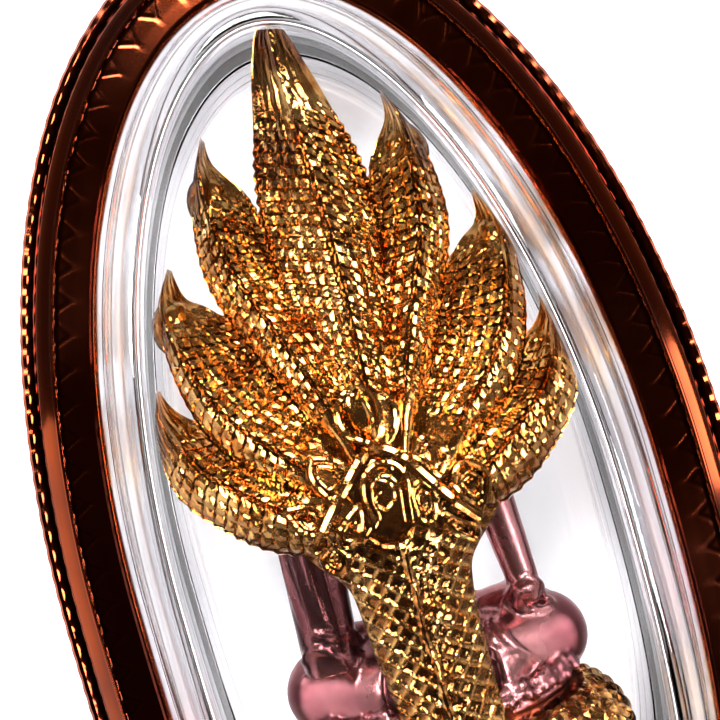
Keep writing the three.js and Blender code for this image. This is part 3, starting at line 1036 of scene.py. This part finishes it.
def makeCoil(tier):
    n = nagaSizes
    radius = n["coilRadius"] + (n["coilRise"] / 2 if tier == 0 else 0)
    halfWidth = n["coilHalf"] - tier * n["coilTaper"] - radius
    halfDepth = n["coilHalfDepth"] - radius
    y = n["seatY"] - radius - tier * n["coilPitch"] + (n["coilRise"] if tier == 0 else 0)
    low = -math.asin(min(1, (y - n["footY"]) / radius))
    steps = 4  # of the mesh along one scale
    across = steps * round(radius * (math.pi / 2 - low) / n["scaleSize"] / steps)
    oval = (halfWidth, halfDepth, halfDepth, n["coilPower"], n["coilPower"])
    _, length = evenStations(1, radius, *oval)
    count = steps * round(length / n["scaleSize"] / steps)
    stations, _ = evenStations(count, radius, *oval)
    points, faces = [], []
    for k, (place, out) in enumerate(stations):
        for j in range(across + 1):
            a = low + (math.pi / 2 - low) * j / across
            first, second = (k + j) % steps, (k - j) % steps
            near = min(first, steps - first, second, steps - second)
            bump = (1 - (1 - 2 * near / steps) ** 2) * n["scaleHeight"] * ramp(math.cos(a), 0.05, 0.4)
            reach = radius - n["scaleHeight"] + bump
            offset = reach * math.cos(a)
            height = reach * math.sin(a) if j else n["footY"] - y if low > -1.5 else -radius
            points.append((place.x + out.x * offset, y + height, caseMiddle - place.y - out.y * offset))
    deep = across + 1
    for k in range(count):
        m = (k + 1) % count
        for j in range(across):
            a, b, c, d = k * deep + j, m * deep + j, m * deep + j + 1, k * deep + j + 1
            split = (k - j) % steps == 0 or ((k + j + 1) % steps != 0 and (k + j) % 2 == 0)
            faces += [(a, b, c), (a, c, d)] if split else [(a, b, d), (b, c, d)]
    faces.append(tuple(k * deep for k in range(count)))
    faces.append(tuple(k * deep + deep - 1 for k in range(count)))
    return faceOutwards(newPiece("coil", points, faces))


def makeHeadFront(neck, side):
    n = nagaSizes
    across, up, _, half = neck["line"][-3]
    x, y = side * across * n["hoodHalf"], up * n["hoodRise"]
    size = min(half, 0.15) * n["hoodHalf"] * 0.8
    z = n["hoodZ"] - neck["lean"] * 0.5
    parts = [
        addBall((x, y, z - size * 0.9), (size, size * 1.2, size * 1.35), across=24, down=16),
        addBall((x, y - size * 0.5, z - size * 2), (size * 0.62, size * 0.5, size * 0.95)),
        addBall((x, y - size * 0.95, z - size * 1.7), (size * 0.5, size * 0.3, size * 0.85)),
        addBall((x, y + size * 0.1, z - size * 2.75), (size * 0.4, size * 0.25, size * 0.3)),
    ]
    for s in (-1, 1):
        eye = (x + s * size * 0.52, y + size * 0.15, z - size * 1.9)
        parts.append(addBall(eye, (size * 0.26,) * 3, across=14, down=10))
        nostril = (x + s * size * 0.2, y - size * 0.28, z - size * 2.85)
        parts.append(addBall(nostril, (size * 0.1,) * 3, across=8, down=6))
        brow = []
        for t in (0, 0.25, 0.5, 0.75, 1):
            up = size * (0.35 + 0.35 * t - 0.3 * t * t)
            brow.append((x + s * size * (0.15 + 0.75 * t), y + up, z - size * (2.25 - 1.2 * t)))
        parts.append(sweptTube("brow", brow, [size * r for r in (0.08, 0.14, 0.16, 0.13, 0.05)]))
    return parts


def paintSkinShade(piece):  # painted shade in the body's sunken squares, on the middle head's tip and on the claws' outer halves
    n = nagaSizes
    marks = []
    for k, neck in enumerate(hoodNecks):
        for side in neck["sides"]:
            line = [throughPoints(neck["line"], t / 100) for t in range(101)]
            for t in range(1, 100):
                along = Vector((line[t + 1][0] - line[t - 1][0], line[t + 1][1] - line[t - 1][1]))
                along = Vector((side * along.x * n["hoodHalf"], along.y * n["hoodRise"])).normalized()
                x, y = side * line[t][0] * n["hoodHalf"], line[t][1] * n["hoodRise"]
                marks.append((Vector((x, y, 0)), t / 100, side * Vector((along.y, -along.x)), k == 0))
    tree = KDTree(len(marks))
    for k, (spot, *_) in enumerate(marks):
        tree.insert(spot, k)
    tree.balance()

    def shadeAt(x, y):
        if y < 4:  # the body, down to its coils
            share = ramp(y, n["seatY"] - 0.6, n["seatY"] + 0.4) * ramp(-y, -2, -0.5)
            return n["bodyShade"] * (1 - netRidge(x, y)) * share
        near, k, _ = tree.find(Vector((x, y, 0)))
        _, t, outwards, middle = marks[k]
        if t < 0.5:
            return 0
        out = (Vector((x, y)) - near.xy).dot(outwards)
        streak = 0.7 + 0.9 * noise.noise(Vector((out * 9, y * 0.5, 2)))
        share = ramp(t, 0.62, 0.75) * ramp(out, -0.25, 0.05)
        if middle:
            share = max(ramp(t, 0.82, 0.88), ramp(t, 0.55, 0.65) * ramp(-out, 0.1, 0.5))
        return streak * share

    addPaintedShade(piece, shadeAt)


def makeNaga():
    parts, seed = [makeBody()], 20
    for neck in hoodNecks:
        for side in neck["sides"]:
            seed += 3
            parts.append(makeNeck(neck, side, seed))
    parts.append(addBall(collarSizes["shield"], collarSizes["shieldRadii"], across=48, down=28))
    hood = unite(parts)
    collar = makeCollar(hood)
    fronts = [unite(makeHeadFront(neck, side)) for neck in hoodNecks for side in neck["sides"]]
    whole = unite([hood, collar, unite(fronts), unite([makeCoil(tier) for tier in range(3)])])
    dropSheets(whole)
    paintHollowShade(whole, 0.03)
    paintSkinShade(whole)
    smoothByAngle(whole, 20)
    setAskew(whole)
    finishPiece(whole, "golden_naga", gold, "naga")


# The collar: a gable ribbon with a pod on top, an arch below it, leaves and scrolls on both sides,
# all laid on a smooth shield over the foot of the hood
collarSizes = {
    "wire": 0.15,
    "highest": 12.88,
    "shield": (-0.2, 2.3, 10.9),
    "shieldRadii": (4.0, 2.2, 1.55),
    "gable": [
        (-3.4, 0.8), (-2.5, 1.9), (-1.6, 2.9), (-0.8, 3.75), (-0.3, 3.95),
        (0.2, 3.85), (0.8, 3.35), (1.4, 2.5), (2.1, 1.5), (3.1, 0.3),
    ],
    "arch": [
        (-1.35, 0.8), (-0.95, 1.3), (-1.1, 2.3), (-0.85, 3.05), (-0.2, 3.4),
        (0.4, 3.2), (0.7, 2.6), (0.6, 1.7), (0.5, 0.8),
    ],
    "curl": [(-0.4, 2.8), (0.05, 2.5), (0, 1.85), (-0.45, 1.6), (-0.7, 2.0), (-0.35, 2.3)],
    "loops": [
        [
            (-0.2, 6.6), (-1.0, 6.2), (-1.3, 5.6), (-1.1, 4.8),
            (-0.2, 4.2), (0.3, 4.7), (0.3, 5.6), (0.1, 6.2),
        ],
        [(-2.75, 4.2), (-1.9, 3.9), (-1.4, 3.3), (-2.2, 2.5), (-2.7, 3.0), (-2.9, 3.6)],
        [(-4.2, 2.5), (-3.2, 2.4), (-2.7, 1.95), (-3.1, 1.3), (-3.7, 1.5), (-4.0, 2.0)],
        [(1.15, 3.3), (1.6, 3.8), (2.2, 3.8), (2.45, 3.0), (2.0, 2.3), (1.5, 2.9)],
        [(2.4, 1.8), (2.7, 2.35), (3.3, 2.5), (3.8, 1.9), (3.6, 1.1), (3.15, 0.8), (2.7, 1.2)],
        [(0.75, 1.1), (0.75, 1.9), (1.15, 2.3), (1.6, 1.8), (1.5, 0.9), (1.05, 0.7)],
        [(1.75, 0.9), (2.3, 0.4), (2.9, -0.1), (2.7, -0.6), (2.1, -0.1), (1.6, 0.5)],
        [(-1.35, 2.0), (-1.45, 1.3), (-1.9, 0.6), (-2.4, 0.5), (-2.4, 1.1), (-1.9, 1.6)],
        [(-2.7, 0.7), (-2.3, 0.1), (-2.7, -0.5), (-3.2, -0.3), (-3.3, 0.3)],
    ],
    "podLeaf": [(0.25, 6.4), (0.8, 5.9), (1.0, 5.3), (0.85, 4.6), (0.45, 4.05)],
    "droop": [(-1.3, 0.7), (-0.9, 0.25), (-0.4, 0.1), (0.1, 0.2), (0.5, 0.7)],
}


def makeCollar(hood):
    c = collarSizes
    tree = BVHTree.FromObject(hood, bpy.context.evaluated_depsgraph_get())

    def laid(flat, lift=0.06):
        lying = []
        for x, y in flat:
            hit = tree.ray_cast(Vector((x * mm, y * mm, 0.02)), Vector((0, 0, -1)))
            z = hit[0].z / mm if hit[0] else nagaSizes["hoodZ"]
            lying.append([x, y, min(z + lift, c["highest"] - c["wire"])])
        for _ in range(12):  # evens out the studs under the wire
            lying = [
                [p[0], p[1], max(p[2], (a[2] + p[2] + b[2]) / 3)]
                for a, p, b in zip([lying[0]] + lying[:-1], lying, lying[1:] + [lying[-1]])
            ]
        return lying

    added = []

    def wire(flat, radius, closed=False, taper=False):
        count = 6 * len(flat)
        source = flat + [flat[0]] if closed else flat
        smooth = [throughPoints(source, k / count) for k in range(count + (not closed))]
        radii = tapered(radius, len(smooth), 0.6) if taper else radius
        added.append(sweptTube("wire", laid(smooth), radii, 8, closed))

    wire(c["gable"], c["wire"] * 1.6)
    for line in (c["arch"], c["podLeaf"], c["droop"]):
        wire(line, c["wire"], taper=True)
    wire([(x * 0.62 - 0.1, 1.0 + (y - 0.8) * 0.72) for x, y in c["arch"]], c["wire"] * 0.6)
    wire(c["curl"], c["wire"] * 0.8, taper=True)
    for k, loop in enumerate(c["loops"]):
        wire(loop, c["wire"], closed=True)
        x, y = (sum(values) / len(loop) for values in zip(*loop))
        wire([(x + (px - x) * 0.55, y + (py - y) * 0.55) for px, py in loop], c["wire"] * 0.55, closed=True)
    x, y = (sum(values) / len(c["loops"][0]) for values in zip(*c["loops"][0]))
    added.append(addBall((x, y, laid([(x, y)], 0)[0][2] - 0.05), (0.55, 0.95, 0.22), (0, 0, 0.2)))
    return unite(added)


makeNaga()
print("naga: hood, body, coils and collar")


# The seated figure, facing forwards, so its back is towards the naga
buddhaSizes = {
    "sole": figureLow.y,
    "planeZ": 6.7,
    "roughVoxel": 0.2,
    "bodyVoxel": 0.105,
    "headVoxel": 0.07,
    "foldRadius": 0.19,
    "kneeAcross": 5.3,
    "shoulderAcross": 4.1,
    "skull": (1.52, 1.62, 1.66),
    "skullUp": 14.75,
    "curl": 0.17,
    "curlRows": (9, 4),  # on the skull and on the knot
    "hemLift": 1.15,
    "hemHalf": 6.25,
    "hemDeep": 3.45,
    "hemPower": 2.1,
    "hemBeads": 71,
    "hemBead": 0.27,
    "sleeveShade": 0.7,  # the robe over the left shoulder and arm is darker: painted shadow, as the naga shades it
}


def at(x, y, z):
    return (x, buddhaSizes["sole"] + y, buddhaSizes["planeZ"] + z)


def addBeads(name, places, radii):  # many small balls as one mesh
    bpy.ops.object.select_all(action="DESELECT")
    bpy.ops.mesh.primitive_ico_sphere_add(subdivisions=2, radius=1)
    model = bpy.context.object
    shape = [vertex.co.copy() for vertex in model.data.vertices]
    sides = [tuple(face.vertices) for face in model.data.polygons]
    bpy.data.objects.remove(model)
    points, faces = [], []
    for place, radius in zip(places, radii):
        first = len(points)
        points += [Vector(place) + corner * radius for corner in shape]
        faces += [tuple(first + k for k in side) for side in sides]
    return newPiece(name, points, faces)


def remeshed(parts, name, voxel, rounds):
    whole = joinAll(parts, name)
    applyModifier(whole, "REMESH", mode="VOXEL", voxel_size=voxel * mm)
    applyModifier(whole, "SMOOTH", factor=0.5, iterations=rounds)
    return whole


def bodyParts():
    b = buddhaSizes
    knee, shoulder = b["kneeAcross"], b["shoulderAcross"]
    parts = [
        addBall(at(0, 1.9, -0.7), (5, 1.9, 3)),
        addBall(at(0, 2.9, 0.2), (3.3, 2, 2)),
        addBall(at(0, 5.6, 0.1), (2.55, 3.6, 1.5)),
        addBall(at(0, 8.9, 0.25), (3.3, 2.6, 1.5)),
        addBall(at(0, 10.2, 0.05), (3.5, 1.35, 1.35)),
        addBar(at(0, 10.6, 0), at(0, 13.2, -0.1), 1.3, 0.95, 32),
        addBar(at(-4.25, 9.9, 0.45), at(-4.55, 3.6, 0.8), 1.45, 1.3, 32),
        addBall(at(-4.15, 10, 0.35), (1.55, 1.3, 1.35)),
        addBall(at(0, 0.6, -0.4), (6.1, 0.7, 3.6)),
    ]
    for side in (-1, 1):
        parts += [
            addBar(at(side * 1.6, 2.2, 0.9), at(side * knee, 2.1, -1.2), 2, 1.95, 32),
            addBall(at(side * knee, 2.1, -1.2), (2, 1.95, 2)),
            addBar(at(side * knee, 1.8, -1.8), at(-side * 0.6, 1.9, -3.1), 1.6, 1.05, 32),
            addBall(at(side * (shoulder - 0.05), 10.3, 0.1), (1.35, 1.25, 1.2)),
            addBar(at(side * 4.3, 10.2, 0.1), at(side * 4.75, 4.9, 0.4), 1.02, 0.74, 32),
            addBall(at(side * 4.75, 4.75, 0.35), (0.76, 0.76, 0.76)),
            addBar(at(side * 4.75, 4.7, 0.25), at(side * 1.1, 3.75, -2.6), 0.74, 0.5, 32),
            addBall(at(side * 2.7, 3.2, -2.9), (1.5, 0.45, 0.7), (0, 0.25 * side, 0)),
        ]
        for toe in range(5):
            place = at(side * (1.35 - 0.05 * toe), 3.25, -3.3 + 0.22 * toe)
            parts.append(addBall(place, (0.24, 0.17, 0.13)))
    # hands laid in the lap, one on the other, thumbs touching
    for hand, lift in ((-1, 3.3), (1, 3.72)):
        parts.append(addBall(at(hand * 0.75, lift, -2.85), (1.0, 0.26, 0.72)))
        for finger in range(4):
            z = -2.45 - 0.27 * finger
            tip = at(-hand * (1.15 - 0.14 * abs(finger - 1.3)), lift + 0.06, z)
            parts.append(addBar(at(hand * 0.5, lift, z), tip, 0.16, 0.13, 12))
            parts.append(addBall(tip, (0.14, 0.13, 0.13)))
        parts.append(addBar(at(hand * 1.2, lift + 0.1, -2.6), at(hand * 0.1, 4.25, -2.75), 0.19, 0.13, 12))
    return parts


def addFolds(tree):
    b = buddhaSizes
    folds = []

    def fold(line, radius, fromBehind=True):
        laid = []
        for k in range(6 * len(line)):
            x, y = throughPoints(line, k / (6 * len(line) - 1))
            side = 1 if fromBehind else -1
            start = Vector(at(x, y + 8, 10 * side)) * mm
            hit = tree.ray_cast(start, Vector((0, -8, -10 * side)).normalized())
            if hit[0]:
                laid.append(hit[0] / mm)
        if len(laid) > 5:
            folds.append(sweptTube("fold", laid, tapered(radius, len(laid), 0.75), 8))

    size = b["foldRadius"]
    # cloth wound round below the right elbow
    swirl = []
    for k in range(15):
        turn, reach = 0.5 + k * 0.62, 0.12 + 0.065 * k
        swirl.append((4.75 + 1.45 * reach * math.cos(turn), 3.9 + 0.75 * reach * math.sin(turn)))
    fold(swirl, size * 1.15)
    for k in range(4):  # folds that fall from the swirl along the thigh
        line = [(3.6 - 0.35 * k, 4.1), (3.1 - 0.5 * k, 3.0), (3.4 - 0.5 * k, 1.6), (4.4 - 0.5 * k, 0.7)]
        fold(line, size * 0.8)
    for k in range(5):  # the robe drawn over the left shoulder
        start, low = (-3.9 + 0.55 * k, 11.2), (2.9 - 0.2 * k, 6.6 - 0.75 * k)
        fold([start, (-2.2 + 0.5 * k, 9.2 - 0.25 * k), (0.3 + 0.25 * k, 7.6 - 0.5 * k), low], size * 0.65)
        line = [start, (-1.9 + 0.3 * k, 9.3 - 0.3 * k), (0.4, 7.7 - 0.5 * k), (2.2, 6.9 - 0.7 * k)]
        fold(line, size * 0.6, False)
    for k in range(4):  # and down the left arm
        fold([(-5.4 + 0.55 * k, 10.2), (-5.5 + 0.55 * k, 7.4), (-5.3 + 0.5 * k, 4.4)], size * 0.7)
    for side in (-1, 1):
        for k in range(4):
            away = 1.8 + 1.15 * k
            line = [(side * 0.6, 3.2 - 0.3 * k), (side * away, 2.6), (side * (away + 1.1), 1.1)]
            fold(line, size * 0.7, False)
    fold([(-4.9, 4.3), (-4.0, 3.9), (-3.1, 4.3), (-2.6, 5.1)], size)
    fold([(-6.3, 3.1), (-5.3, 3.6), (-4.2, 3.0), (-3.7, 1.7)], size * 0.9)
    return folds


def hemParts():
    b = buddhaSizes
    oval = (b["hemHalf"], b["hemDeep"], b["hemDeep"], b["hemPower"], b["hemPower"])
    stations, _ = evenStations(b["hemBeads"], 0, *oval)
    places, radii = [], []
    for k, (place, out) in enumerate(stations):
        for level in range(2):
            lift = b["hemLift"] + 0.34 * level + 0.1 * math.sin(k * 1.9)
            offset = -0.24 * level + 0.09 * math.sin(k * 2.6 + level)
            spot = place + out * offset
            places.append(at(spot.x, lift, -0.4 - spot.y))
            radii.append(b["hemBead"] * (0.85 + 0.3 * scatter(k, level, 3)))
    return [addBeads("hem", places, radii)]


def headParts():
    b = buddhaSizes
    up = b["skullUp"]
    wide, tall, deep = b["skull"]
    parts = [
        addBall(at(0, up, -0.15), b["skull"], across=40, down=24),
        addBall(at(0, 13.5, -0.6), (1.18, 1.4, 1.2), across=40, down=24),
        addBall(at(0, 12.72, -1.3), (0.42, 0.34, 0.4)),
        addBar(at(0, 14.5, -1.66), at(0, 13.92, -1.95), 0.11, 0.17, 16),
        addBall(at(0, 13.86, -1.9), (0.2, 0.15, 0.18)),
        addBall(at(0, 16.5, -0.1), (0.86, 0.72, 0.86)),
    ]
    mouth = [(x, 13.33 + 0.1 * x * x, -1.74 + 0.35 * x * x) for x in (-0.48, -0.24, 0, 0.24, 0.48)]
    parts.append(sweptTube("lip", [at(*p) for p in mouth], [0.03, 0.09, 0.08, 0.09, 0.03]))
    lower = [at(x, y - 0.15, z + 0.02) for x, y, z in mouth]
    parts.append(sweptTube("lip", lower, [0.02, 0.08, 0.11, 0.08, 0.02]))
    for side in (-1, 1):
        parts.append(addBall(at(side * 0.62, 13.7, -1.2), (0.55, 0.6, 0.45)))
        parts.append(addBall(at(side * 0.15, 13.87, -1.8), (0.12, 0.11, 0.13)))
        parts.append(addBall(at(side * 0.56, 14.25, -1.47), (0.37, 0.21, 0.23)))
        lid = [(0.2, 14.2, -1.66), (0.4, 14.1, -1.71), (0.6, 14.1, -1.66), (0.9, 14.24, -1.42)]
        parts.append(sweptTube("lid", [at(side * x, y, z) for x, y, z in lid], [0.03, 0.05, 0.05, 0.02]))
        brow = [(0.12, 14.55, -1.76), (0.35, 14.75, -1.72), (0.7, 14.8, -1.55), (1.08, 14.6, -1.25)]
        parts.append(sweptTube("brow", [at(side * x, y, z) for x, y, z in brow], [0.06, 0.08, 0.08, 0.03]))
        parts.append(addBall(at(side * 1.55, 14.35, -0.25), (0.14, 0.45, 0.34)))
        parts.append(addBall(at(side * 1.6, 13.4, -0.25), (0.12, 0.75, 0.22)))
        rim = [
            (1.55, 14.5, -0.55), (1.65, 14.85, -0.3), (1.68, 14.7, 0.05), (1.68, 14.0, 0.02),
            (1.68, 13.2, -0.05), (1.66, 12.7, -0.25), (1.64, 13.1, -0.42),
        ]
        parts.append(sweptTube("ear", [at(side * x, y, z) for x, y, z in rim], 0.09, 8))
    # rows of snail curls over the skull and the knot
    places, radii = [], []
    for row in range(b["curlRows"][0]):
        down = math.radians(8 + row * 12.2)
        count = max(5, round(2 * math.pi * math.sin(down) * 1.6 / 0.34))
        for k in range(count):
            a = 2 * math.pi * (k + 0.5 * (row % 2)) / count
            front = -math.cos(a)  # 1 at the face
            if math.degrees(down) > 104 - 46 * ramp(front, -0.1, 0.75):
                continue
            x, y = wide * math.sin(down) * math.sin(a), tall * math.cos(down)
            z = deep * math.sin(down) * math.cos(a)
            places.append(at(x, up + y, -0.15 + z))
            radii.append(b["curl"])
    for row in range(b["curlRows"][1]):
        down = math.radians(10 + row * 24)
        count = max(4, round(2 * math.pi * math.sin(down) * 0.86 / 0.32))
        for k in range(count):
            a = 2 * math.pi * (k + 0.5 * (row % 2)) / count
            x, z = 0.86 * math.sin(down) * math.sin(a), 0.86 * math.sin(down) * math.cos(a)
            places.append(at(x, 16.5 + 0.72 * math.cos(down), -0.1 + z))
            radii.append(b["curl"] * 0.9)
    parts.append(addBeads("curls", places, radii))
    return parts


def makeFinial():  # a flame of six leaves over the knot
    levels = [
        (16.9, 0.42), (17.15, 0.6), (17.5, 0.66), (17.95, 0.52), (18.4, 0.32), (18.85, 0.18), (19.3, 0.07),
    ]
    sides, points, faces = 36, [], []
    for y, radius in levels:
        for k in range(sides):
            a = 2 * math.pi * k / sides
            reach = radius * (1 + 0.16 * math.cos(6 * a))
            points.append(at(reach * math.sin(a), y, -0.1 + reach * math.cos(a)))
    for level in range(len(levels) - 1):
        for k in range(sides):
            a, b = level * sides + k, level * sides + (k + 1) % sides
            faces.append((a, b, b + sides, a + sides))
    faces.append(tuple(range(sides)))
    faces.append(tuple((len(levels) - 1) * sides + k for k in range(sides)))
    return faceOutwards(newPiece("finial", points, faces))


def makeBuddha():
    b = buddhaSizes
    plain = remeshed(bodyParts(), "body", b["roughVoxel"], 4)
    tree = BVHTree.FromObject(plain, bpy.context.evaluated_depsgraph_get())
    body = remeshed([plain] + addFolds(tree) + hemParts(), "body", b["bodyVoxel"], 3)
    head = remeshed(headParts() + [makeFinial()], "head", b["headVoxel"], 1)
    figure = unite([body, head])
    paintHollowShade(figure, 0.03)

    # painted shadow over the left sleeve and shoulder
    def sleeveAt(x, y):
        return b["sleeveShade"] * ramp(y - b["sole"], 3.4, 4.6) * ramp(-x, -1.5, 0.5)

    addPaintedShade(figure, sleeveAt)
    smoothByAngle(figure, 60)
    setAskew(figure)
    finishPiece(figure, "rose_buddha", roseCopper, "buddha")


makeBuddha()
print("figure: body with folds and hem, head with curls and finial")
